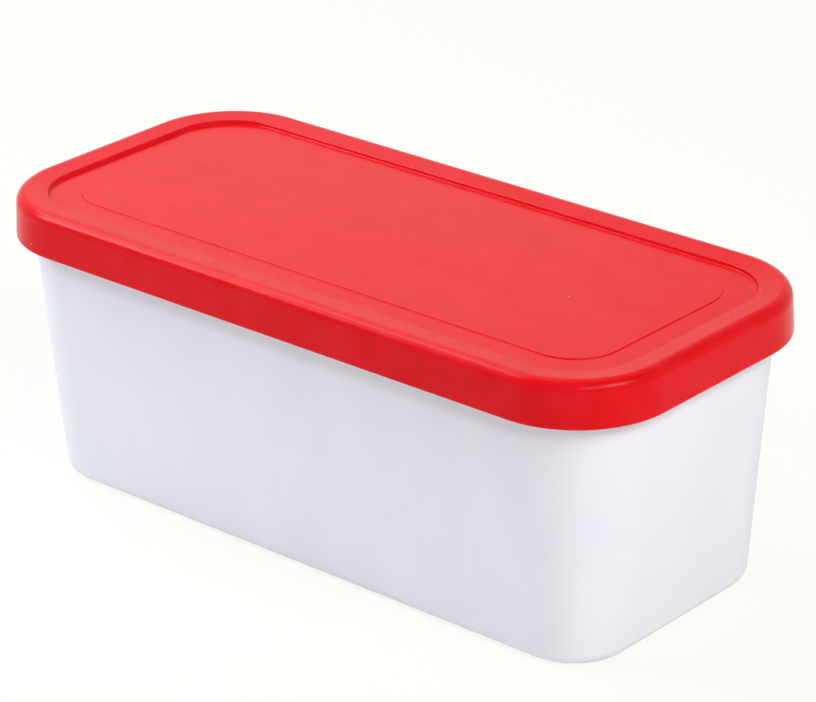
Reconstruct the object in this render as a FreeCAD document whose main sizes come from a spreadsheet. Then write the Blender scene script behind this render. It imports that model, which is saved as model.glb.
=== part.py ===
"""A lidded ice cream storage tub: a tapered, round-cornered tub and the push-on lid that rests on its rim.

Units are millimetres. +X runs along the tub, +Z is up, and the origin is the centre of the face it stands on.
Each piece is a stack of outlines: level rounded rectangles, centred on the Z axis, each at a named height.
Lofts join the outlines with straight walls, and fillets round the edges that lie on them.
"""

import FreeCAD
import Part
import Sketcher
import os
from math import pi

# Each driving size: alias in the sheet, value, and what it measures (millimetres, and degrees for a draft).
DRIVING_SIZES = [
    ("total_height", 91.9, "standing face to the top of the lid's border"),
    ("lid_length", 240.0, "length over the foot of the skirt, before its edge is rounded"),
    ("lid_width", 110.2, "width over the foot of the skirt, before its edge is rounded"),
    ("lid_corner_radius", 30.4, "plan radius of the foot of the skirt"),
    ("lid_height", 13.8, "foot of the skirt to the top of the border"),
    ("lid_flare", 0.7, "how much further out the skirt's foot is than its top, on each side"),
    ("lid_shoulder_radius", 3.3, "round between the skirt and the border"),
    ("skirt_wall", 2.2, "thickness of the skirt"),
    ("skirt_edge_radius", 0.9, "round on the outside of the skirt's foot"),
    ("skirt_lip_radius", 0.5, "round on the inside of the skirt's foot"),
    ("border_width", 9.6, "top edge of the skirt to the inner edge of the border"),
    ("border_fall", 0.6, "how far the border slopes down towards the middle of the lid"),
    ("border_edge_radius", 0.6, "round on the inner edge of the border"),
    ("channel_depth", 1.2, "inner edge of the border down to the sunken channel"),
    ("channel_draft_inset", 0.35, "how far the channel's outer wall leans in over its depth"),
    ("channel_corner_radius", 0.4, "hollow round at the foot of the channel's outer wall"),
    ("channel_width", 8.6, "inner edge of the border to the foot of the raised panel"),
    ("panel_rise", 0.3, "height of the raised panel above the channel"),
    ("panel_plan_radius", 14.8, "plan radius of the raised panel's corners"),
    ("panel_draft_inset", 0.15, "how far the raised panel's wall leans in over its height"),
    ("panel_edge_radius", 0.12, "round on the raised panel's edge"),
    ("lid_floor", 2.0, "thickness of the lid under the channel"),
    ("bead_height", 0.8, "how far the snap bead stands in from the skirt's inner face"),
    ("bead_width", 2.4, "height of the snap bead along the skirt"),
    ("rim_height", 3.2, "depth of the rim that the lid snaps over"),
    ("rim_clearance", 0.3, "gap between the rim and the lid, at the skirt and at the bead"),
    ("rim_edge_radius", 0.6, "round on the rim's outer edges"),
    ("overhang", 5.6, "foot of the skirt to the tub's wall, on each side"),
    ("end_draft", 5.08, "lean of the tub's short walls"),
    ("side_draft", 4.23, "lean of the tub's long walls"),
    ("foot_plan_radius", 18.1, "plan radius of the tub's corners at the foot"),
    ("foot_edge_radius", 3.5, "round between the walls and the underside"),
    ("foot_ring_width", 3.0, "flat ring that the tub stands on, inside the foot's round"),
    ("foot_recess_depth", 0.8, "how far the middle of the underside is sunk"),
    ("foot_recess_radius", 0.6, "hollow round at the edge of the sunken underside"),
]

SHEET = "Sizes"
TOLERANCE = 1e-4


def size(alias):
    """Return the expression that reads one driving size from the sheet."""
    return f"{SHEET}.{alias}"


# Heights, as expressions of the driving sizes.
STANDING_FACE = "0"
LID_TOP = size("total_height")
SKIRT_FOOT = f"({LID_TOP} - {size('lid_height')})"
BORDER_EDGE = f"({LID_TOP} - {size('border_fall')})"
CHANNEL_FLOOR = f"({BORDER_EDGE} - {size('channel_depth')})"
PANEL_TOP = f"({CHANNEL_FLOOR} + {size('panel_rise')})"
SEAT = f"({CHANNEL_FLOOR} - {size('lid_floor')})"
RIM_UNDERSIDE = f"({SEAT} - {size('rim_height')})"
BEAD_TOP = f"({RIM_UNDERSIDE} - {size('rim_clearance')})"
BEAD_CREST = f"({BEAD_TOP} - {size('bead_width')} / 2)"
BEAD_FOOT = f"({BEAD_TOP} - {size('bead_width')})"
FOOT_RECESS_ROOF = size("foot_recess_depth")

# Insets from the foot of the skirt, as expressions of the driving sizes.
BORDER_INSET = f"({size('lid_flare')} + {size('border_width')})"
CREST_INSET = f"({size('lid_flare')} + {size('lid_shoulder_radius')})"
CHANNEL_INSET = f"({BORDER_INSET} + {size('channel_draft_inset')})"
PANEL_INSET = f"({BORDER_INSET} + {size('channel_width')})"


def skirt_inset(height):
    """Return the inset of the skirt's outer face at a height, from its foot."""
    return f"({size('lid_flare')} * ({height} - {SKIRT_FOOT}) / {size('lid_height')})"


def lid_section(inset):
    """Return the length, width and plan radius of the lid's outline, moved in by an inset."""
    return (
        f"{size('lid_length')} - 2 * {inset}",
        f"{size('lid_width')} - 2 * {inset}",
        f"{size('lid_corner_radius')} - {inset}",
    )


def panel_section(lean):
    """Return the length, width and plan radius of the raised panel, moved in by its wall's lean."""
    length, width, _ = lid_section(f"({PANEL_INSET} + {lean})")
    return length, width, f"{size('panel_plan_radius')} - {lean}"


def tub_section(height, inset="0"):
    """Return the length, width and plan radius of the tub at a height, moved in by an inset.

    The walls lean at their drafts and pass the skirt's foot at the overhang. The plan radius grows evenly
    from the foot's to the one that keeps the overhang even round the lid's corners.
    """
    rim_radius = f"({size('lid_corner_radius')} - {size('overhang')})"
    foot_radius = size("foot_plan_radius")
    drop = f"({SKIRT_FOOT} - {height})"
    end_inset = f"({size('overhang')} + {drop} * tan({size('end_draft')}) + {inset})"
    side_inset = f"({size('overhang')} + {drop} * tan({size('side_draft')}) + {inset})"
    return (
        f"{size('lid_length')} - 2 * {end_inset}",
        f"{size('lid_width')} - 2 * {side_inset}",
        f"{rim_radius} - ({rim_radius} - {foot_radius}) * {drop} / {SKIRT_FOOT} - {inset}",
    )


def make_sheet(document):
    """Add the sheet that holds the driving sizes, each under its alias."""
    sheet = document.addObject("Spreadsheet::Sheet", SHEET)
    for row, (alias, value, meaning) in enumerate(DRIVING_SIZES, start=1):
        sheet.set(f"A{row}", alias)
        sheet.set(f"B{row}", str(value))
        sheet.setAlias(f"B{row}", alias)
        sheet.set(f"C{row}", meaning)
    document.recompute()
    return sheet


def make_body(document, label):
    """Add an empty body under the label that names its piece."""
    body = document.addObject("PartDesign::Body", label.capitalize())
    body.Label = label
    body.Placement = FreeCAD.Placement()
    return body


def level_plane(body):
    """Return the body's own XY plane."""
    return next(plane for plane in body.Origin.OriginFeatures if plane.Role == "XY_Plane")


def outline(body, name, height, section):
    """Sketch a rounded rectangle at a height, centred on the Z axis.

    The shape is drawn at a start size and its constraints then take the section's three expressions.
    """
    sketch = body.newObject("Sketcher::SketchObject", name)
    sketch.AttachmentSupport = [(level_plane(body), "")]
    sketch.MapMode = "FlatFace"
    sketch.setExpression("AttachmentOffset.Base.z", height)

    half_length, half_width, radius = 100.0, 45.0, 15.0
    reach, spread = half_length - radius, half_width - radius
    up = FreeCAD.Vector(0, 0, 1)
    sides = [
        ((-reach, -half_width), (reach, -half_width)),
        ((half_length, -spread), (half_length, spread)),
        ((reach, half_width), (-reach, half_width)),
        ((-half_length, spread), (-half_length, -spread)),
    ]
    for start, end in sides:
        sketch.addGeometry(Part.LineSegment(FreeCAD.Vector(*start, 0), FreeCAD.Vector(*end, 0)), False)
    centres = [(reach, -spread), (reach, spread), (-reach, spread), (-reach, -spread)]
    for corner, centre in enumerate(centres):
        circle = Part.Circle(FreeCAD.Vector(*centre, 0), up, radius)
        sketch.addGeometry(Part.ArcOfCircle(circle, (corner - 1) * pi / 2, corner * pi / 2), False)

    # Sketch geometry: sides 0 to 3 and corners 4 to 7, both anticlockwise; points 1 start, 2 end, 3 centre.
    for corner in range(4):
        sketch.addConstraint(Sketcher.Constraint("Tangent", corner, 2, 4 + corner, 1))
        sketch.addConstraint(Sketcher.Constraint("Tangent", 4 + corner, 2, (corner + 1) % 4, 1))
    for side, direction in enumerate(("Horizontal", "Vertical", "Horizontal", "Vertical")):
        sketch.addConstraint(Sketcher.Constraint(direction, side))
    for corner in (5, 6, 7):
        sketch.addConstraint(Sketcher.Constraint("Equal", 4, corner))
    sketch.addConstraint(Sketcher.Constraint("Symmetric", 4, 3, 6, 3, -1, 1))
    dimensions = [
        ("length", Sketcher.Constraint("DistanceX", 3, 1, 1, 1, 2 * half_length)),
        ("width", Sketcher.Constraint("DistanceY", 0, 1, 2, 1, 2 * half_width)),
        ("radius", Sketcher.Constraint("Radius", 4, radius)),
    ]
    for (dimension, constraint), expression in zip(dimensions, section):
        index = sketch.addConstraint(constraint)
        sketch.renameConstraint(index, dimension)
        sketch.setExpression(f"Constraints.{dimension}", expression)
    return sketch


def loft(body, kind, name, outlines):
    """Join outlines with straight walls, adding to the body or, as a SubtractiveLoft, cutting from it."""
    feature = body.newObject(f"PartDesign::{kind}", name)
    feature.Profile = outlines[0]
    feature.Sections = outlines[1:]
    feature.Ruled = True
    body.Document.recompute()
    return feature


def edges_on(feature, sketch):
    """Return the names of the feature's edges that lie on a sketch's outline."""
    names = []
    for index, edge in enumerate(feature.Shape.Edges, start=1):
        middle = edge.valueAt((edge.FirstParameter + edge.LastParameter) / 2)
        points = [middle] + [vertex.Point for vertex in edge.Vertexes]
        gaps = [sketch.Shape.distToShape(Part.Vertex(point))[0] for point in points]
        if max(gaps) < TOLERANCE:
            names.append(f"Edge{index}")
    return names


def fillet(body, name, sketches, radius):
    """Round the edges of the body that lie on the given outlines."""
    base = body.Tip
    feature = body.newObject("PartDesign::Fillet", name)
    feature.Base = (base, [edge for sketch in sketches for edge in edges_on(base, sketch)])
    feature.setExpression("Radius", radius)
    body.Document.recompute()
    return feature


def make_tub(document):
    """Build the closed tub: its leaning walls, the rim under the lid and the ring it stands on."""
    body = make_body(document, "tub")
    foot = outline(body, "FootOutline", STANDING_FACE, tub_section(STANDING_FACE))
    seat = outline(body, "SeatOutline", SEAT, tub_section(SEAT))
    loft(body, "AdditiveLoft", "Walls", [foot, seat])

    rim = []
    for name, level in (("RimUndersideOutline", RIM_UNDERSIDE), ("RimTopOutline", SEAT)):
        inset = f"({skirt_inset(level)} + {size('skirt_wall')} + {size('rim_clearance')})"
        rim.append(outline(body, name, level, lid_section(inset)))
    loft(body, "AdditiveLoft", "Rim", rim)

    ring_inset = f"({size('foot_edge_radius')} + {size('foot_ring_width')})"
    recess = [
        outline(body, "RecessMouthOutline", STANDING_FACE, tub_section(STANDING_FACE, ring_inset)),
        outline(body, "RecessRoofOutline", FOOT_RECESS_ROOF, tub_section(STANDING_FACE, ring_inset)),
    ]
    loft(body, "SubtractiveLoft", "FootRecess", recess)

    fillet(body, "FootRound", [foot], size("foot_edge_radius"))
    fillet(body, "FootRecessRound", [recess[1]], size("foot_recess_radius"))
    fillet(body, "RimRound", rim, size("rim_edge_radius"))
    return body


def make_lid(document):
    """Build the lid: a flared skirt, a sloping border, a sunken channel and a raised middle panel."""
    body = make_body(document, "lid")
    skirt_foot = outline(body, "SkirtFootOutline", SKIRT_FOOT, lid_section("0"))
    skirt_top = outline(body, "SkirtTopOutline", LID_TOP, lid_section(size("lid_flare")))
    loft(body, "AdditiveLoft", "Skirt", [skirt_foot, skirt_top])

    # The inside follows the skirt's wall, with a bead that snaps under the tub's rim.
    levels = [
        ("CavityMouthOutline", SKIRT_FOOT, "0"),
        ("BeadFootOutline", BEAD_FOOT, "0"),
        ("BeadCrestOutline", BEAD_CREST, size("bead_height")),
        ("BeadTopOutline", BEAD_TOP, "0"),
        ("CavityRoofOutline", SEAT, "0"),
    ]
    cavity = []
    for name, level, bead in levels:
        inset = f"({skirt_inset(level)} + {size('skirt_wall')} + {bead})"
        cavity.append(outline(body, name, level, lid_section(inset)))
    loft(body, "SubtractiveLoft", "Cavity", cavity)

    border_crest = outline(body, "BorderCrestOutline", LID_TOP, lid_section(CREST_INSET))
    border_edge = outline(body, "BorderEdgeOutline", BORDER_EDGE, lid_section(BORDER_INSET))
    channel_foot = outline(body, "ChannelFootOutline", CHANNEL_FLOOR, lid_section(CHANNEL_INSET))
    loft(body, "SubtractiveLoft", "Channel", [border_crest, border_edge, channel_foot])

    panel_foot = outline(body, "PanelFootOutline", CHANNEL_FLOOR, panel_section("0"))
    panel_top = outline(body, "PanelTopOutline", PANEL_TOP, panel_section(size("panel_draft_inset")))
    loft(body, "AdditiveLoft", "Panel", [panel_foot, panel_top])

    fillet(body, "PanelRound", [panel_top], size("panel_edge_radius"))
    fillet(body, "ChannelRound", [channel_foot], size("channel_corner_radius"))
    fillet(body, "BorderRound", [border_edge], size("border_edge_radius"))
    fillet(body, "ShoulderRound", [skirt_top], size("lid_shoulder_radius"))
    fillet(body, "SkirtEdgeRound", [skirt_foot], size("skirt_edge_radius"))
    fillet(body, "SkirtLipRound", [cavity[0]], size("skirt_lip_radius"))
    return body


def check(document, bodies):
    """Stop if an object failed to build, or if a piece isn't one valid solid."""
    for item in document.Objects:
        failed = {"Invalid", "Error"} & set(item.State)
        if failed:
            raise RuntimeError(f"{item.Label} failed: {item.State}")
    for body in bodies:
        shape = body.Shape
        if shape.isNull() or not shape.isValid() or len(shape.Solids) != 1:
            raise RuntimeError(f"{body.Label} isn't one valid solid")


def main():
    """Build the document, check it, and write each piece to parts/ under its label."""
    document = FreeCAD.newDocument("StorageTub")
    make_sheet(document)
    bodies = [make_tub(document), make_lid(document)]
    document.recompute()
    check(document, bodies)
    os.makedirs("parts", exist_ok=True)
    for body in bodies:
        body.Shape.exportStep(f"parts/{body.Label}.step")
        box = body.Shape.optimalBoundingBox(False)
        print(f"{body.Label}: {box.XLength:.2f} x {box.YLength:.2f} x {box.ZLength:.2f} mm,"
              f" {body.Shape.Volume / 1000:.1f} cm3, from z {box.ZMin:.2f} to {box.ZMax:.2f}")


main()
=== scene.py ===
"""Looks of the lidded ice cream tub: a matte white tapered tub under a satin red silicone rubber lid.

Both pieces are one shape, carried out in geometry nodes: a stack of level rounded rectangles, whose insets,
heights and plan radii follow the section of the wall. The stack replaces the plain solid of the same form in
the frame.
Every length is in metres, and the sizes below are written in millimetres times MM.
"""

from __future__ import annotations

import logging
import math
from dataclasses import dataclass
from enum import Enum
from typing import ClassVar

import bmesh
import bpy
from mathutils import Matrix, Vector

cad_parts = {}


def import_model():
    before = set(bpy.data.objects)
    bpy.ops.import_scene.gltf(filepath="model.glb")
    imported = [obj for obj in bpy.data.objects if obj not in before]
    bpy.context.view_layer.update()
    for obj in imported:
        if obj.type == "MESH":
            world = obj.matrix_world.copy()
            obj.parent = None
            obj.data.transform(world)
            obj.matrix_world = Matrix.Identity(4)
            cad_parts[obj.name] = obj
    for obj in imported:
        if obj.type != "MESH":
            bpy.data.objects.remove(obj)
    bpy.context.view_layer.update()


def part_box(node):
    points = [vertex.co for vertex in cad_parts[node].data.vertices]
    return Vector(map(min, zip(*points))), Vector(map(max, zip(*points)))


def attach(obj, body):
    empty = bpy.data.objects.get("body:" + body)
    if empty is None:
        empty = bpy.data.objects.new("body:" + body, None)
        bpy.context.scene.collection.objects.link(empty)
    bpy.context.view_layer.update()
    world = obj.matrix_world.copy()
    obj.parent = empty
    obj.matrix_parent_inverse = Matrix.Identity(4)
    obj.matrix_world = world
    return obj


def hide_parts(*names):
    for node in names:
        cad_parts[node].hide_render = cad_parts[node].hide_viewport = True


MM = 0.001
BODY = "root"
RIGHT_ANGLE = math.pi / 2
LOG = logging.getLogger("storage_tub")

Socket = bpy.types.NodeSocket
Colour = tuple[float, float, float]


class Slot(Enum):
    """The record's material slots."""

    LID = "lid_rubber"
    TUB = "tub_plastic"


# ---------------------------------------------------------------------------------------------------------
# Sections: the line that a wall's section follows, from the middle of one face round to that of the other.


@dataclass(frozen=True)
class Corner:
    """A corner of a section.

    Attributes:
        inset: distance in from the outline that the section is drawn from.
        rise: height above the standing face.
        round: radius that rounds the corner, or 0 for a sharp one.
    """

    inset: float
    rise: float
    round: float = 0.0


@dataclass(frozen=True)
class Section:
    """A section's corners, turned into closely spaced points.

    Attributes:
        corners: the corners in order.
        arc_step: largest turn between two points of a round.
        guard: distance from a round to the extra point that keeps the flat beside it flat.
        longest_run: largest distance between two points on a flat.
    """

    NO_LENGTH: ClassVar[float] = 0.01
    LARGEST_GUARD: ClassVar[float] = 1 / 3

    corners: list[Corner]
    arc_step: float = RIGHT_ANGLE / 10
    guard: float = 0.25 * MM
    longest_run: float = 12 * MM

    def points(self) -> list[Vector]:
        """Return the section's points as (inset, rise) vectors.

        Returns:
            Points with each round as an arc, and with the flats between them divided.
        """
        places = [Vector((corner.inset, corner.rise)) for corner in self.corners]
        line = [places[0]]
        for before, here, after, corner in zip(places, places[1:], places[2:], self.corners[1:]):
            arc = self._round(before, here, after, corner.round)
            line += self._flat(line[-1], arc[0]) + arc[1:]
        return line + self._flat(line[-1], places[-1])

    def _round(self, before: Vector, here: Vector, after: Vector, radius: float) -> list[Vector]:
        """Return the points that turn one corner.

        Args:
            before: the corner before this one.
            here: this corner.
            after: the corner after this one.
            radius: radius of the round.

        Returns:
            The arc's points, or the corner alone if it is sharp.
        """
        if radius == 0.0:
            return [here]
        back = (before - here).normalized()
        on = (after - here).normalized()
        turn = math.pi - back.angle(on)
        centre = here + (back + on).normalized() * radius / math.cos(turn / 2)
        spoke = here + back * radius * math.tan(turn / 2) - centre
        steps = max(2, math.ceil(turn / self.arc_step))
        way = math.copysign(turn / steps, on.x * back.y - on.y * back.x)
        return [centre + Matrix.Rotation(way * step, 2) @ spoke for step in range(steps + 1)]

    def _flat(self, start: Vector, end: Vector) -> list[Vector]:
        """Return the points of a flat after its start: one near each end, and more along a long one.

        Args:
            start: the flat's first point.
            end: the flat's last point.

        Returns:
            The points, of which the last is the end.
        """
        length = (end - start).length
        if length < self.guard * self.NO_LENGTH:
            return []
        share = min(self.guard / length, self.LARGEST_GUARD)
        pieces = math.ceil(length / self.longest_run)
        inner = [share + (1 - 2 * share) * piece / pieces for piece in range(pieces + 1)]
        return [start.lerp(end, place) for place in (*inner, 1.0)]


@dataclass(frozen=True)
class Level:
    """One level outline of a stack.

    Attributes:
        end_inset: how far the short sides are in from the full length.
        side_inset: how far the long sides are in from the full width.
        plan_radius: radius of the outline's corners.
        rise: height above the standing face.
    """

    end_inset: float
    side_inset: float
    plan_radius: float
    rise: float


# ---------------------------------------------------------------------------------------------------------
# The stack of outlines, as a blank mesh that geometry nodes shape.


@dataclass(frozen=True)
class RoundTrip:
    """The way round an outline: for each vertex, which corner it belongs to and which way it faces.

    Attributes:
        corner_steps: faces in a quarter turn.
        long_stops: places along a long side, as shares of the way from its middle to its end.
        short_stops: the same for a short side.
    """

    corner_steps: int = 24
    long_stops: tuple[float, ...] = (0.985, 0.8, 0.6, 0.4, 0.2, 0.0)
    short_stops: tuple[float, ...] = (0.96, 0.65, 0.3, 0.0)

    def stations(self) -> list[tuple[Vector, Vector]]:
        """Return the corner share and the bearing of each vertex, anticlockwise from the +X side's middle.

        Returns:
            Pairs of a vector of shares of the way to the corner centres, -1 to 1, and a unit vector outwards.
        """
        found = []
        for quarter in range(4):
            towards = Vector(((1, 1, 0), (-1, 1, 0), (-1, -1, 0), (1, -1, 0))[quarter])
            stops = self.long_stops if quarter % 2 else self.short_stops
            other = self.short_stops if quarter % 2 else self.long_stops
            start = self._facing(quarter * RIGHT_ANGLE)
            end = self._facing((quarter + 1) * RIGHT_ANGLE)
            found += [(self._along(towards, start, stop), start) for stop in reversed(stops)]
            for step in range(self.corner_steps + 1):
                bearing = self._facing((quarter + step / self.corner_steps) * RIGHT_ANGLE)
                found.append((towards, bearing))
            found += [(self._along(towards, end, stop), end) for stop in other[:-1]]
        return found

    @staticmethod
    def _facing(angle: float) -> Vector:
        """Return the level unit vector at an angle from +X."""
        return Vector((math.cos(angle), math.sin(angle), 0.0))

    @staticmethod
    def _along(towards: Vector, facing: Vector, stop: float) -> Vector:
        """Return a corner's shares, drawn in to a stop along the side that faces one way.

        Args:
            towards: the corner's own shares, 1 or -1 each way.
            facing: the side's outward direction.
            stop: share of the way from the side's middle to the corner.

        Returns:
            The shares with the part along the side scaled by the stop.
        """
        if abs(facing.x) > abs(facing.y):
            return Vector((towards.x, towards.y * stop, 0.0))
        return Vector((towards.x * stop, towards.y, 0.0))


class OutlineNodes:
    """The node tree that turns a blank into a stack of rounded rectangles.

    A vertex lies at its share of the way to the corner centres, plus its bearing times the plan radius, at
    its rise.
    """

    NAME = "Stacked outlines"
    ATTRIBUTES = {"share": "FLOAT_VECTOR", "bearing": "FLOAT_VECTOR", "inset": "FLOAT_VECTOR",
                  "rise": "FLOAT", "plan_radius": "FLOAT"}

    def __init__(self) -> None:
        """Build the tree with its named inputs."""
        self.tree = bpy.data.node_groups.new(self.NAME, "GeometryNodeTree")
        face = self.tree.interface
        face.new_socket(name="Blank", in_out="INPUT", socket_type="NodeSocketGeometry")
        self.inputs = {
            name: face.new_socket(name=name, in_out="INPUT", socket_type=kind).identifier
            for name, kind in (("Length", "NodeSocketFloat"), ("Width", "NodeSocketFloat"),
                               ("Weld distance", "NodeSocketFloat"), ("Finish", "NodeSocketMaterial"))
        }
        face.new_socket(name="Piece", in_out="OUTPUT", socket_type="NodeSocketGeometry")
        self._wire()

    def _node(self, kind: str, **settings: str) -> bpy.types.Node:
        """Add a node and set its properties.

        Args:
            kind: the node's type name.
            **settings: properties to set on it.

        Returns:
            The new node.
        """
        node = self.tree.nodes.new(kind)
        for name, value in settings.items():
            setattr(node, name, value)
        return node

    def _attribute(self, name: str) -> Socket:
        """Return the field that reads one of the blank's attributes."""
        node = self._node("GeometryNodeInputNamedAttribute", data_type=self.ATTRIBUTES[name])
        node.inputs["Name"].default_value = name
        return node.outputs["Attribute"]

    def _vector(self, operation: str, *terms: Socket) -> Socket:
        """Return a vector operation on two fields."""
        node = self._node("ShaderNodeVectorMath", operation=operation)
        for term, socket in zip(terms, node.inputs):
            self.tree.links.new(term, socket)
        return node.outputs["Vector"]

    def _combine(self, **parts: Socket) -> Socket:
        """Return a vector made of the given X, Y and Z fields, the rest being 0."""
        node = self._node("ShaderNodeCombineXYZ")
        for axis, part in parts.items():
            self.tree.links.new(part, node.inputs[axis])
        return node.outputs["Vector"]

    def _half(self, whole: Socket) -> Socket:
        """Return half of a number."""
        node = self._node("ShaderNodeMath", operation="DIVIDE")
        self.tree.links.new(whole, node.inputs[0])
        node.inputs[1].default_value = 2.0
        return node.outputs["Value"]

    def _wire(self) -> None:
        """Link the outline's formula, then weld, shade, realize and dress the result."""
        group = self._node("NodeGroupInput").outputs
        radius = self._attribute("plan_radius")
        half = self._combine(X=self._half(group["Length"]), Y=self._half(group["Width"]))
        sides = self._vector("SUBTRACT", half, self._attribute("inset"))
        centres = self._vector("SUBTRACT", sides, self._combine(X=radius, Y=radius))
        at_centre = self._vector("MULTIPLY", self._attribute("share"), centres)
        spoke = self._vector("MULTIPLY", self._attribute("bearing"), self._combine(X=radius, Y=radius))
        on_plan = self._vector("ADD", at_centre, spoke)
        place = self._vector("ADD", on_plan, self._combine(Z=self._attribute("rise")))

        move = self._node("GeometryNodeSetPosition")
        weld = self._node("GeometryNodeMergeByDistance")
        smooth = self._node("GeometryNodeSetShadeSmooth")
        real = self._node("GeometryNodeRealizeInstances")
        dress = self._node("GeometryNodeSetMaterial")
        out = self._node("NodeGroupOutput")
        link = self.tree.links.new
        link(group["Blank"], move.inputs["Geometry"])
        link(place, move.inputs["Position"])
        link(move.outputs["Geometry"], weld.inputs["Geometry"])
        link(group["Weld distance"], weld.inputs["Distance"])
        link(weld.outputs["Geometry"], smooth.inputs["Geometry"])
        link(smooth.outputs["Geometry"], real.inputs["Geometry"])
        link(real.outputs["Geometry"], dress.inputs["Geometry"])
        link(group["Finish"], dress.inputs["Material"])
        link(dress.outputs["Geometry"], out.inputs["Piece"])


@dataclass(frozen=True)
class OutlineStack:
    """A closed piece made of level outlines, first and last drawn in to a line.

    Attributes:
        name: the piece's name.
        length: full length that the insets are taken from.
        width: full width that the insets are taken from.
        levels: the outlines, in order along the section.
        sharp_turn: angle between faces above which an edge shows as a crease.
        weld_distance: vertices nearer than this are one.
        sliver: edges shorter than this are dissolved.
    """

    name: str
    length: float
    width: float
    levels: list[Level]
    sharp_turn: float = math.radians(34)
    weld_distance: float = 0.001 * MM
    sliver: float = 0.0005 * MM

    def _closed_levels(self) -> list[Level]:
        """Return the levels with outlines added at both ends that shrink the last opening to a line."""
        return self._closing(self.levels[0])[::-1] + self.levels + self._closing(self.levels[-1])

    def _closing(self, edge: Level, steps: int = 5) -> list[Level]:
        """Return outlines that draw a flat face in to the line along its middle.

        Args:
            edge: the face's outermost outline.
            steps: how many outlines to make.

        Returns:
            The outlines, outermost first.
        """
        spread = self.width / 2 - edge.side_inset
        shares = [step / steps for step in range(1, steps + 1)]
        return [
            Level(edge.end_inset + spread * share, edge.side_inset + spread * share,
                  edge.plan_radius * (1 - share), edge.rise)
            for share in shares
        ]

    def _blank(self) -> bpy.types.Object:
        """Return a tube of faces whose vertices carry what the node tree reads."""
        stations = RoundTrip().stations()
        levels = self._closed_levels()
        around, up = len(stations), len(levels)
        corners = [(row, step) for row in range(up) for step in range(around)]
        faces = [
            (row * around + step, row * around + (step + 1) % around,
             (row + 1) * around + (step + 1) % around, (row + 1) * around + step)
            for row in range(up - 1) for step in range(around)
        ]
        mesh = bpy.data.meshes.new(f"{self.name}_blank")
        mesh.from_pydata([(step, row, 0.0) for row, step in corners], [], faces)
        values = {
            "share": [stations[step][0] for _, step in corners],
            "bearing": [stations[step][1] for _, step in corners],
            "inset": [(levels[row].end_inset, levels[row].side_inset, 0.0) for row, _ in corners],
            "rise": [levels[row].rise for row, _ in corners],
            "plan_radius": [levels[row].plan_radius for row, _ in corners],
        }
        for name, kind in OutlineNodes.ATTRIBUTES.items():
            attribute = mesh.attributes.new(name, kind, "POINT")
            if kind == "FLOAT":
                attribute.data.foreach_set("value", values[name])
            else:
                attribute.data.foreach_set("vector", [part for vector in values[name] for part in vector])
        blank = bpy.data.objects.new(f"{self.name}_blank", mesh)
        bpy.context.scene.collection.objects.link(blank)
        return blank

    def build(self, nodes: OutlineNodes, finish: bpy.types.Material) -> bpy.types.Object:
        """Shape the blank and turn it into a plain mesh object.

        Args:
            nodes: the tree that shapes it.
            finish: the material that it wears.

        Returns:
            The finished piece, at the origin, with its place in its mesh.
        """
        blank = self._blank()
        shaper = blank.modifiers.new("Outlines", "NODES")
        shaper.node_group = nodes.tree
        for name, value in (("Length", self.length), ("Width", self.width),
                            ("Weld distance", self.weld_distance), ("Finish", finish)):
            shaper[nodes.inputs[name]] = value
        graph = bpy.context.evaluated_depsgraph_get()
        mesh = bpy.data.meshes.new_from_object(blank.evaluated_get(graph), depsgraph=graph)
        mesh.name = self.name
        bpy.data.objects.remove(blank)
        for name in OutlineNodes.ATTRIBUTES:
            mesh.attributes.remove(mesh.attributes[name])
        self._face_outwards(mesh)
        mesh.set_sharp_from_angle(angle=self.sharp_turn)
        piece = bpy.data.objects.new(self.name, mesh)
        bpy.context.scene.collection.objects.link(piece)
        return piece

    def _face_outwards(self, mesh: bpy.types.Mesh) -> None:
        """Turn the closed mesh right side out and drop the slivers that welding leaves."""
        work = bmesh.new()
        work.from_mesh(mesh)
        bmesh.ops.dissolve_degenerate(work, dist=self.sliver, edges=work.edges)
        if work.calc_volume(signed=True) < 0:
            bmesh.ops.reverse_faces(work, faces=work.faces)
        work.to_mesh(mesh)
        work.free()


# ---------------------------------------------------------------------------------------------------------
# Finishes.


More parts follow.
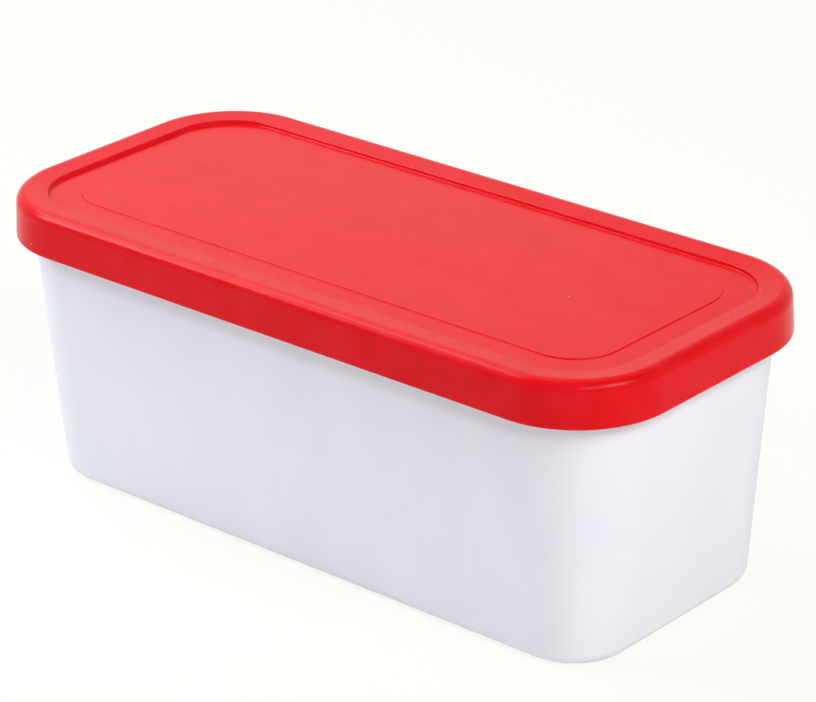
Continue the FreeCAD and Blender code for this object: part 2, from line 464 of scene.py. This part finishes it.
class Graph:
    """A shader's node tree, filled one node at a time."""

    def __init__(self, tree: bpy.types.NodeTree) -> None:
        """Start from an empty tree.

        Args:
            tree: the node tree to fill.
        """
        self.tree = tree
        tree.nodes.clear()

    def add(self, kind: str, **settings: object) -> bpy.types.Node:
        """Add a node.

        Args:
            kind: the node's type name.
            **settings: properties to set on it.

        Returns:
            The new node.
        """
        node = self.tree.nodes.new(kind)
        for name, value in settings.items():
            setattr(node, name, value)
        return node

    def link(self, source: Socket, target: Socket) -> None:
        """Link one socket to another."""
        self.tree.links.new(source, target)

    def math(self, operation: str, first: Socket | float, second: Socket | float = 0.0) -> Socket:
        """Return the result of a sum on two numbers.

        Args:
            operation: the Math node's operation.
            first: the first number.
            second: the second number.

        Returns:
            The result.
        """
        node = self.add("ShaderNodeMath", operation=operation)
        for socket, term in zip(node.inputs, (first, second)):
            if isinstance(term, float):
                socket.default_value = term
            else:
                self.link(term, socket)
        return node.outputs["Value"]

    def remap(self, value: Socket, low: float, high: float, start: float = 0.0, end: float = 1.0) -> Socket:
        """Return a value carried from one range to another.

        Args:
            value: the value to carry.
            low: result at the start of the range.
            high: result at its end.
            start: start of the value's range.
            end: end of the value's range.

        Returns:
            The carried value, kept within low and high.
        """
        node = self.add("ShaderNodeMapRange")
        for name, number in (("From Min", start), ("From Max", end), ("To Min", low), ("To Max", high)):
            node.inputs[name].default_value = number
        self.link(value, node.inputs["Value"])
        return node.outputs["Result"]

    def mix(self, share: Socket, plain: Socket | Colour, other: Socket | Colour) -> Socket:
        """Return a mix of two colours.

        Args:
            share: how much of the other colour shows, 0 to 1.
            plain: the colour at share 0.
            other: the colour at share 1.

        Returns:
            The mixed colour.
        """
        node = self.add("ShaderNodeMix", data_type="RGBA")
        self.link(share, node.inputs["Factor"])
        for name, colour in (("A", plain), ("B", other)):
            socket = next(s for s in node.inputs if s.name == name and s.type == "RGBA")
            if isinstance(colour, tuple):
                socket.default_value = (*colour, 1.0)
            else:
                self.link(colour, socket)
        return next(s for s in node.outputs if s.type == "RGBA")

    def seen(self) -> Socket:
        """Return 1 for rays from the camera, from gloss and through glass, and 0 for light between things."""
        rays = self.add("ShaderNodeLightPath").outputs
        gloss = self.math("MAXIMUM", rays["Is Camera Ray"], rays["Is Glossy Ray"])
        return self.math("MAXIMUM", gloss, rays["Is Transmission Ray"])

    def blend(self, share: Socket, plain: Socket, other: Socket, output: str) -> None:
        """Make the tree's result a blend of two shaders.

        Args:
            share: how much of the other shader counts, 0 to 1.
            plain: the shader at share 0.
            other: the shader at share 1.
            output: type name of the output node.
        """
        mixer = self.add("ShaderNodeMixShader")
        self.link(share, mixer.inputs["Fac"])
        self.link(plain, mixer.inputs[1])
        self.link(other, mixer.inputs[2])
        self.link(mixer.outputs["Shader"], self.add(output).inputs["Surface"])


class Finish(Graph):
    """A material with one principled surface, whose patterns lie in the piece's own coordinates."""

    CLOUDING = (0.3, 0.7)
    SMALLEST_SPECK = 0.4
    SPECK_CORE = 0.6

    def __init__(self, name: str) -> None:
        """Start the material.

        Args:
            name: the material's name.
        """
        self.material = bpy.data.materials.new(name)
        self.material.use_nodes = True
        super().__init__(self.material.node_tree)
        self.surface = self.add("ShaderNodeBsdfPrincipled")
        self.link(self.surface.outputs["BSDF"], self.add("ShaderNodeOutputMaterial").inputs["Surface"])
        self.place = self.add("ShaderNodeTexCoord").outputs["Object"]

    def set(self, **values: float | tuple[float, ...]) -> None:
        """Set constant values on the surface's own sockets, named with underscores for spaces."""
        for name, value in values.items():
            self.surface.inputs[name.replace("_", " ")].default_value = value

    def drive(self, name: str, source: Socket) -> None:
        """Link a pattern to one of the surface's sockets."""
        self.link(source, self.surface.inputs[name])

    def noise(self, grain: float, detail: float = 2.0, upright_scale: float = 1.0) -> Socket:
        """Return noise over the piece.

        Args:
            grain: size of its largest lumps.
            detail: how many finer layers it has.
            upright_scale: scale of the pattern along Z, less than 1 drawing it out.

        Returns:
            The noise's value, about 0 to 1 and 0.5 on average.
        """
        frame = self.add("ShaderNodeMapping")
        frame.inputs["Scale"].default_value = (1.0, 1.0, upright_scale)
        self.link(self.place, frame.inputs["Vector"])
        node = self.add("ShaderNodeTexNoise")
        node.inputs["Scale"].default_value = 1.0 / grain
        node.inputs["Detail"].default_value = detail
        self.link(frame.outputs["Vector"], node.inputs["Vector"])
        return node.outputs["Fac"]

    def clouded(self, pattern: Socket, plain: Colour, cloud: Colour) -> Socket:
        """Return a colour that drifts part of the way to another.

        Args:
            pattern: a noise, 0 to 1.
            plain: the first colour.
            cloud: the other colour.

        Returns:
            The mixed colour.
        """
        return self.mix(self.remap(pattern, 0.0, 1.0, *self.CLOUDING), plain, cloud)

    def specks(self, spacing: float, size: float, keep: float) -> Socket:
        """Return a mask of small scattered specks of different sizes.

        Args:
            spacing: distance between the places where a speck may lie.
            size: radius of the largest speck.
            keep: share of the places that have one.

        Returns:
            1 on a speck and 0 elsewhere, with a soft edge.
        """
        cells = self.add("ShaderNodeTexVoronoi", feature="F1")
        cells.inputs["Scale"].default_value = 1.0 / spacing
        self.link(self.place, cells.inputs["Vector"])
        chance = self.add("ShaderNodeSeparateColor")
        self.link(cells.outputs["Color"], chance.inputs["Color"])
        present = self.math("LESS_THAN", chance.outputs["Red"], keep)
        reach = self.remap(chance.outputs["Green"], self.SMALLEST_SPECK * size / spacing, size / spacing)
        near = self.math("DIVIDE", cells.outputs["Distance"], reach)
        return self.math("MULTIPLY", present, self.remap(near, 1.0, 0.0, self.SPECK_CORE, 1.0))

    def relief(self, height: Socket, depth: float, below: Socket | None = None) -> Socket:
        """Return the surface's direction with a relief on it.

        Args:
            height: the relief's height, 0 to 1.
            depth: its real depth at height 1.
            below: a relief that this one lies on.

        Returns:
            The changed direction.
        """
        node = self.add("ShaderNodeBump")
        node.inputs["Strength"].default_value = 1.0
        node.inputs["Distance"].default_value = depth
        self.link(height, node.inputs["Height"])
        if below is not None:
            self.link(below, node.inputs["Normal"])
        return node.outputs["Normal"]


@dataclass(frozen=True)
class SiliconeRubber:
    """Satin red silicone rubber: faintly mottled, finely grained, with a few pale specks of lint.

    Attributes:
        colour: the rubber's own red.
        cloud: the paler red that it is mottled with.
        mottle_size: size of the mottle's largest patches.
        mottle_detail: how many finer layers the mottle has.
        lint: colour of the specks.
        lint_spacing: distance between the places where a speck may lie.
        lint_size: radius of the largest speck.
        lint_share: share of the places that have a speck.
        lint_height: how far the specks stand up.
        index: refractive index of its surface.
        gloss: lowest and highest roughness.
        gloss_size: size of the patches of one roughness.
        wave_size: length of the broad waves in its surface.
        wave_detail: how many finer layers the waves have.
        wave_height: height of those waves.
        grain_size: size of its fine grain.
        grain_height: height of that grain.
    """

    colour: Colour = (0.71, 0.001, 0.003)
    cloud: Colour = (0.745, 0.006, 0.013)
    mottle_size: float = 11 * MM
    mottle_detail: float = 4.0
    lint: Colour = (0.9, 0.42, 0.42)
    lint_spacing: float = 6 * MM
    lint_size: float = 0.3 * MM
    lint_share: float = 0.3
    lint_height: float = 0.012 * MM
    index: float = 1.2
    gloss: tuple[float, float] = (0.215, 0.262)
    gloss_size: float = 4 * MM
    wave_size: float = 8 * MM
    wave_detail: float = 1.0
    wave_height: float = 0.05 * MM
    grain_size: float = 0.6 * MM
    grain_height: float = 0.006 * MM

    def material(self) -> bpy.types.Material:
        """Return the material."""
        finish = Finish("lid_silicone_rubber")
        body = finish.clouded(finish.noise(self.mottle_size, self.mottle_detail), self.colour, self.cloud)
        lint = finish.specks(self.lint_spacing, self.lint_size, self.lint_share)
        finish.drive("Base Color", finish.mix(lint, body, self.lint))
        finish.drive("Roughness", finish.remap(finish.noise(self.gloss_size), *self.gloss))
        waves = finish.relief(finish.noise(self.wave_size, self.wave_detail), self.wave_height)
        grain = finish.relief(finish.noise(self.grain_size), self.grain_height, waves)
        finish.drive("Normal", finish.relief(lint, self.lint_height, grain))
        finish.set(IOR=self.index)
        return finish.material


@dataclass(frozen=True)
class MattePlastic:
    """Matte white moulded polypropylene, very slightly milky.

    Attributes:
        colour: the plastic's own white.
        cloud: the slightly darker white of its flow marks.
        flow_size: width of the flow marks.
        flow_detail: how many finer layers the flow marks have.
        flow_upright_scale: the flow marks' width over their height.
        index: refractive index of its surface.
        gloss: lowest and highest roughness.
        gloss_size: size of the patches of one roughness.
        grain_size: size of its fine grain.
        grain_height: height of that grain.
    """

    colour: Colour = (0.845, 0.845, 0.875)
    cloud: Colour = (0.81, 0.81, 0.86)
    flow_size: float = 22 * MM
    flow_detail: float = 3.0
    flow_upright_scale: float = 0.45
    index: float = 1.45
    gloss: tuple[float, float] = (0.42, 0.52)
    gloss_size: float = 3 * MM
    grain_size: float = 0.45 * MM
    grain_height: float = 0.012 * MM

    def material(self) -> bpy.types.Material:
        """Return the material."""
        finish = Finish("tub_matte_plastic")
        flow = finish.noise(self.flow_size, self.flow_detail, self.flow_upright_scale)
        finish.drive("Base Color", finish.clouded(flow, self.colour, self.cloud))
        finish.drive("Roughness", finish.remap(finish.noise(self.gloss_size), *self.gloss))
        finish.drive("Normal", finish.relief(finish.noise(self.grain_size), self.grain_height))
        finish.set(IOR=self.index)
        return finish.material


# ---------------------------------------------------------------------------------------------------------
# The two pieces.


@dataclass(frozen=True)
class Lid:
    """The push-on lid: skirt, sloping border, sunken channel and raised middle panel.

    Attributes:
        length: length over the skirt.
        width: width over the skirt.
        foot: height of the skirt's foot.
        top: height of the border's crest.
        panel_overlap: how far the panel's outlines start outside its foot.
        panel_guard: the panel's own guard distance, as its round is small.
        middle_start: how far in from the panel's foot, and short of the corner centres inside, a flat begins.

    The rest are the sizes of the wall's section, named as in the part's source.
    """

    length: float
    width: float
    foot: float
    top: float
    corner_radius: float = 30.4 * MM
    flare: float = 0.7 * MM
    shoulder_radius: float = 3.3 * MM
    skirt_wall: float = 2.2 * MM
    skirt_edge_radius: float = 0.9 * MM
    skirt_lip_radius: float = 0.5 * MM
    border_width: float = 9.6 * MM
    border_fall: float = 0.6 * MM
    border_edge_radius: float = 0.6 * MM
    channel_depth: float = 1.2 * MM
    channel_lean: float = 0.35 * MM
    channel_hollow_radius: float = 0.4 * MM
    channel_width: float = 8.6 * MM
    panel_rise: float = 0.3 * MM
    panel_plan_radius: float = 14.8 * MM
    panel_lean: float = 0.15 * MM
    panel_edge_radius: float = 0.12 * MM
    panel_foot_radius: float = 0.15 * MM
    panel_overlap: float = 0.6 * MM
    panel_guard: float = 0.08 * MM
    middle_start: float = 3 * MM
    floor: float = 2.0 * MM
    bead_height: float = 0.8 * MM
    bead_width: float = 2.4 * MM
    bead_edge_radius: float = 0.3 * MM
    rim_height: float = 3.2 * MM
    rim_clearance: float = 0.3 * MM

    @property
    def channel_rise(self) -> float:
        """Height of the channel's floor."""
        return self.top - self.border_fall - self.channel_depth

    @property
    def seat(self) -> float:
        """Height of the face that rests on the tub's rim."""
        return self.channel_rise - self.floor

    def skirt_inset(self, rise: float) -> float:
        """Return how far the skirt's outside is in from its foot at a height."""
        return self.flare * (rise - self.foot) / (self.top - self.foot)

    def _inside(self) -> list[Corner]:
        """Return the corners of the lid's inside, from under the panel out and down to the skirt's foot."""
        bead_top = self.seat - self.rim_height - self.rim_clearance
        bead = [(self.seat, 0.0), (bead_top, 0.0), (bead_top - self.bead_width / 2, self.bead_height),
                (bead_top - self.bead_width, 0.0), (self.foot, 0.0)]
        rounds = [0.0, 0.0, self.bead_edge_radius, 0.0, self.skirt_lip_radius]
        return [
            Corner(self.skirt_inset(rise) + self.skirt_wall + reach, rise, radius)
            for (rise, reach), radius in zip(bead, rounds)
        ]

    def _outside(self) -> list[Corner]:
        """Return the corners of the lid's outside, from the skirt's foot up and in to the channel's floor."""
        border = self.flare + self.border_width
        return [
            Corner(0.0, self.foot, self.skirt_edge_radius),
            Corner(self.flare, self.top, self.shoulder_radius),
            Corner(self.flare + self.shoulder_radius, self.top),
            Corner(border, self.top - self.border_fall, self.border_edge_radius),
            Corner(border + self.channel_lean, self.channel_rise, self.channel_hollow_radius),
            Corner(border + self.channel_width - self.floor, self.channel_rise),
        ]

    def _panel(self) -> list[Level]:
        """Return the outlines of the raised panel, whose corners are rounder than the channel's."""
        inset = self.flare + self.border_width + self.channel_width
        panel_top = self.channel_rise + self.panel_rise
        section = Section([
            Corner(-self.panel_overlap, self.channel_rise),
            Corner(0.0, self.channel_rise, self.panel_foot_radius),
            Corner(self.panel_lean, panel_top, self.panel_edge_radius),
            Corner(self.middle_start, panel_top),
        ], guard=self.panel_guard)
        return [
            Level(inset + point.x, inset + point.x, self.panel_plan_radius - point.x, point.y)
            for point in section.points()
        ]

    def levels(self) -> list[Level]:
        """Return every outline of the lid, from under the middle round to the panel."""
        start = Corner(self.corner_radius - self.middle_start, self.seat)
        section = Section([start, *self._inside(), *self._outside()])
        walls = [
            Level(point.x, point.x, self.corner_radius - point.x, point.y) for point in section.points()
        ]
        return walls + self._panel()

    def build(self, nodes: OutlineNodes) -> bpy.types.Object:
        """Build the lid and put it in the place of the frame's solid.

        Args:
            nodes: the tree that shapes a stack of outlines.

        Returns:
            The finished piece.
        """
        stack = OutlineStack("lid_cap", self.length, self.width, self.levels())
        piece = stack.build(nodes, SiliconeRubber().material())
        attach(piece, BODY)
        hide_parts("lid")
        return piece


@dataclass(frozen=True)
class Tub:
    """The closed tub: leaning walls, a rim under the lid and a ring that it stands on.

    Attributes:
        lid: the lid that the tub is measured from.
        middle_start: distance in from the foot ring where the middle of the underside begins.

    The rest are the sizes of the wall's section, named as in the part's source.
    """

    lid: Lid
    overhang: float = 5.6 * MM
    end_draft: float = math.radians(5.08)
    side_draft: float = math.radians(4.23)
    foot_plan_radius: float = 18.1 * MM
    foot_edge_radius: float = 3.5 * MM
    foot_ring_width: float = 3.0 * MM
    foot_recess_depth: float = 0.8 * MM
    foot_recess_radius: float = 0.6 * MM
    rim_edge_radius: float = 0.6 * MM
    middle_start: float = 4 * MM

    def wall_level(self, inset: float, rise: float) -> Level:
        """Return the outline at a height, moved in from the leaning wall.

        Args:
            inset: distance in from the wall.
            rise: height above the standing face.

        Returns:
            The outline.
        """
        drop = self.lid.foot - rise
        rim_radius = self.lid.corner_radius - self.overhang
        plan_radius = rim_radius - (rim_radius - self.foot_plan_radius) * drop / self.lid.foot
        return Level(self.overhang + drop * math.tan(self.end_draft) + inset,
                     self.overhang + drop * math.tan(self.side_draft) + inset, plan_radius - inset, rise)

    def _rim_reach(self) -> float:
        """Return how far the rim stands out from the wall under it."""
        under = self.lid.seat - self.lid.rim_height
        wall = self.wall_level(0.0, under)
        return wall.side_inset - self.lid.skirt_inset(under) - self.lid.skirt_wall - self.lid.rim_clearance

    def levels(self) -> list[Level]:
        """Return every outline of the tub, from the middle of its underside round to that of its top."""
        ring = self.foot_edge_radius + self.foot_ring_width
        seat, under = self.lid.seat, self.lid.seat - self.lid.rim_height
        reach = self._rim_reach()
        section = Section([
            Corner(ring + self.middle_start, self.foot_recess_depth),
            Corner(ring, self.foot_recess_depth, self.foot_recess_radius),
            Corner(ring, 0.0),
            Corner(0.0, 0.0, self.foot_edge_radius),
            Corner(0.0, under),
            Corner(-reach, under, self.rim_edge_radius),
            Corner(-reach, seat, self.rim_edge_radius),
            Corner(ring, seat),
        ])
        return [self.wall_level(point.x, point.y) for point in section.points()]

    def build(self, nodes: OutlineNodes) -> bpy.types.Object:
        """Build the tub and put it in the place of the frame's solid.

        Args:
            nodes: the tree that shapes a stack of outlines.

        Returns:
            The finished piece.
        """
        stack = OutlineStack("tub_shell", self.lid.length, self.lid.width, self.levels())
        piece = stack.build(nodes, MattePlastic().material())
        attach(piece, BODY)
        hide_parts("tub")
        return piece


# ---------------------------------------------------------------------------------------------------------
# The studio.


@dataclass(frozen=True)
class SoftLight:
    """A square soft light that looks at the middle of the object.

    Attributes:
        name: the light's name.
        azimuth: where it stands, in degrees from -Y towards +X.
        elevation: degrees above the floor.
        distance: distance from the middle of the object.
        side: length of its sides.
        power: power in watts.
        colour: its colour.
    """

    name: str
    azimuth: float
    elevation: float
    distance: float
    side: float
    power: float
    colour: Colour = (1.0, 1.0, 1.0)

    def build(self, middle: Vector) -> bpy.types.Object:
        """Place the light.

        Args:
            middle: the point that it looks at.

        Returns:
            The light.
        """
        lamp = bpy.data.lights.new(self.name, "AREA")
        lamp.shape = "SQUARE"
        lamp.size = self.side
        lamp.energy = self.power
        lamp.color = self.colour
        light = bpy.data.objects.new(self.name, lamp)
        bpy.context.scene.collection.objects.link(light)
        away = direction(self.azimuth, self.elevation)
        light.location = middle + away * self.distance
        light.rotation_euler = away.to_track_quat("Z", "Y").to_euler()
        return light


def direction(azimuth: float, elevation: float) -> Vector:
    """Return the unit vector from the object towards a viewer.

    Args:
        azimuth: degrees from -Y towards +X.
        elevation: degrees above the floor.

    Returns:
        The vector.
    """
    around, up = math.radians(azimuth), math.radians(elevation)
    return Vector((math.sin(around) * math.cos(up), -math.cos(around) * math.cos(up), math.sin(up)))


@dataclass(frozen=True)
class Studio:
    """The pale floor, the white surroundings, the lights and the camera.

    Attributes:
        top: height of the object.
        white: the background's colour.
        overhead: the colour that the surroundings fade to overhead.
        overhead_fade: heights, 0 at the horizon to 1 overhead, between which the surroundings fade.
        fill: the even light from the surroundings.
        floor_side: length of the floor's sides.
        floor_colour: the floor's own colour.
        floor_paleness: how much of the floor, as it is seen, is plain background. The rest shows the shadow.
        lights: the soft lights.
        camera_azimuth: where the camera stands, in degrees from -Y towards +X.
        camera_elevation: degrees above the floor.
        camera_roll: degrees that the picture is turned.
        camera_distance: distance from the point that the camera looks at.
        camera_lens: focal length in millimetres.
        aim_below_top: how far under the object's top the middle of the picture lies, before the next two.
        aim_right: how far the camera's aim is moved to its right.
        aim_up: how far it is moved up.
    """

    top: float
    white: Colour = (0.985, 0.985, 0.95)
    overhead: Colour = (0.5, 0.5, 0.5)
    overhead_fade: tuple[float, float] = (0.45, 0.8)
    fill: Colour = (0.14, 0.14, 0.148)
    floor_side: float = 12.0
    floor_colour: Colour = (0.93, 0.93, 0.92)
    floor_paleness: float = 0.86
    lights: tuple[SoftLight, ...] = (
        SoftLight("overhead_soft", 205.0, 66.0, 1.4, 0.9, 1.6),
        SoftLight("right_soft", 85.0, 40.0, 1.4, 0.5, 8.55),
        SoftLight("right_low_soft", 68.0, 27.0, 1.5, 1.1, 2.1),
        SoftLight("near_corner_soft", 55.0, 37.0, 1.5, 0.2, 2.8),
        SoftLight("left_low_soft", -56.0, 33.0, 0.9, 0.22, 2.75, (0.88, 0.91, 1.0)),
        SoftLight("left_high_soft", -77.0, 51.0, 1.4, 0.62, 8.2, (0.9, 0.92, 1.0)),
        SoftLight("rear_left_soft", -113.0, 49.0, 1.3, 0.7, 3.0, (0.9, 0.92, 1.0)),
        SoftLight("rear_soft", -133.0, 31.0, 1.5, 0.6, 0.38, (0.9, 0.92, 1.0)),
    )
    camera_azimuth: float = 41.71
    camera_elevation: float = 24.12
    camera_roll: float = -1.085
    camera_distance: float = 1082.6 * MM
    camera_lens: float = 160.76
    aim_below_top: float = 48.0 * MM
    aim_right: float = 4.2 * MM
    aim_up: float = 9.4 * MM

    def build(self) -> None:
        """Set up the colour management, the floor, the surroundings, the lights and the camera."""
        bpy.context.scene.view_settings.view_transform = "Standard"
        self._floor()
        self._surroundings()
        middle = Vector((0.0, 0.0, self.top / 2))
        for light in self.lights:
            light.build(middle)
        self._camera()

    def _floor(self) -> None:
        """Lay the floor, which shows as the background with the object's shadow on it."""
        half = self.floor_side / 2
        mesh = bpy.data.meshes.new("floor")
        mesh.from_pydata([(-half, -half, 0), (half, -half, 0), (half, half, 0), (-half, half, 0)], [],
                         [(0, 1, 2, 3)])
        floor = bpy.data.objects.new("floor", mesh)
        bpy.context.scene.collection.objects.link(floor)
        paper = bpy.data.materials.new("floor_paper")
        paper.use_nodes = True
        graph = Graph(paper.node_tree)
        lit = graph.add("ShaderNodeBsdfDiffuse")
        lit.inputs["Color"].default_value = (*self.floor_colour, 1.0)
        plain = graph.add("ShaderNodeEmission")
        plain.inputs["Color"].default_value = (*self.white, 1.0)
        share = graph.math("MULTIPLY", graph.seen(), self.floor_paleness)
        graph.blend(share, lit.outputs["BSDF"], plain.outputs["Emission"], "ShaderNodeOutputMaterial")
        mesh.materials.append(paper)

    def _surroundings(self) -> None:
        """Surround the scene: white at the horizon and softer overhead where it is seen, and an even fill."""
        world = bpy.data.worlds.new("surroundings")
        bpy.context.scene.world = world
        world.use_nodes = True
        graph = Graph(world.node_tree)
        height = graph.add("ShaderNodeSeparateXYZ")
        graph.link(graph.add("ShaderNodeTexCoord").outputs["Generated"], height.inputs["Vector"])
        fade = graph.remap(height.outputs["Z"], 0.0, 1.0, *self.overhead_fade)
        backdrop = graph.add("ShaderNodeBackground")
        graph.link(graph.mix(fade, self.white, self.overhead), backdrop.inputs["Color"])
        fill = graph.add("ShaderNodeBackground")
        fill.inputs["Color"].default_value = (*self.fill, 1.0)
        graph.blend(graph.seen(), fill.outputs["Background"], backdrop.outputs["Background"],
                    "ShaderNodeOutputWorld")

    def _camera(self) -> None:
        """Place the camera: a long lens, a little above the object, facing its near corner."""
        back = direction(self.camera_azimuth, self.camera_elevation)
        level = back.cross(Vector((0.0, 0.0, -1.0))).normalized()
        upright = back.cross(level)
        turn = math.radians(self.camera_roll)
        right = level * math.cos(turn) + upright * math.sin(turn)
        over = upright * math.cos(turn) - level * math.sin(turn)
        aim = Vector((0.0, 0.0, self.top - self.aim_below_top)) + right * self.aim_right + over * self.aim_up
        lens = bpy.data.cameras.new("camera")
        lens.lens = self.camera_lens
        camera = bpy.data.objects.new("camera", lens)
        bpy.context.scene.collection.objects.link(camera)
        pose = Matrix((right, over, back)).transposed().to_4x4()
        pose.translation = aim + back * self.camera_distance
        camera.matrix_world = pose
        bpy.context.scene.camera = camera


def corners(bounds: tuple[Vector, Vector]) -> list[list[float]]:
    """Return a box's two corners as plain lists of numbers."""
    return [[float(part) for part in corner] for corner in bounds]


def main() -> None:
    """Build the pieces around the frame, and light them."""
    logging.basicConfig(level=logging.INFO, format="%(name)s: %(message)s")
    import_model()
    low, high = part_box("lid")
    lid = Lid(length=high.x - low.x, width=high.y - low.y, foot=low.z, top=high.z)
    nodes = OutlineNodes()
    for piece in (lid.build(nodes), Tub(lid).build(nodes)):
        LOG.info("%s: %d faces", piece.name, len(piece.data.polygons))
    Studio(top=high.z).build()


if __name__ == "__main__":
    main()
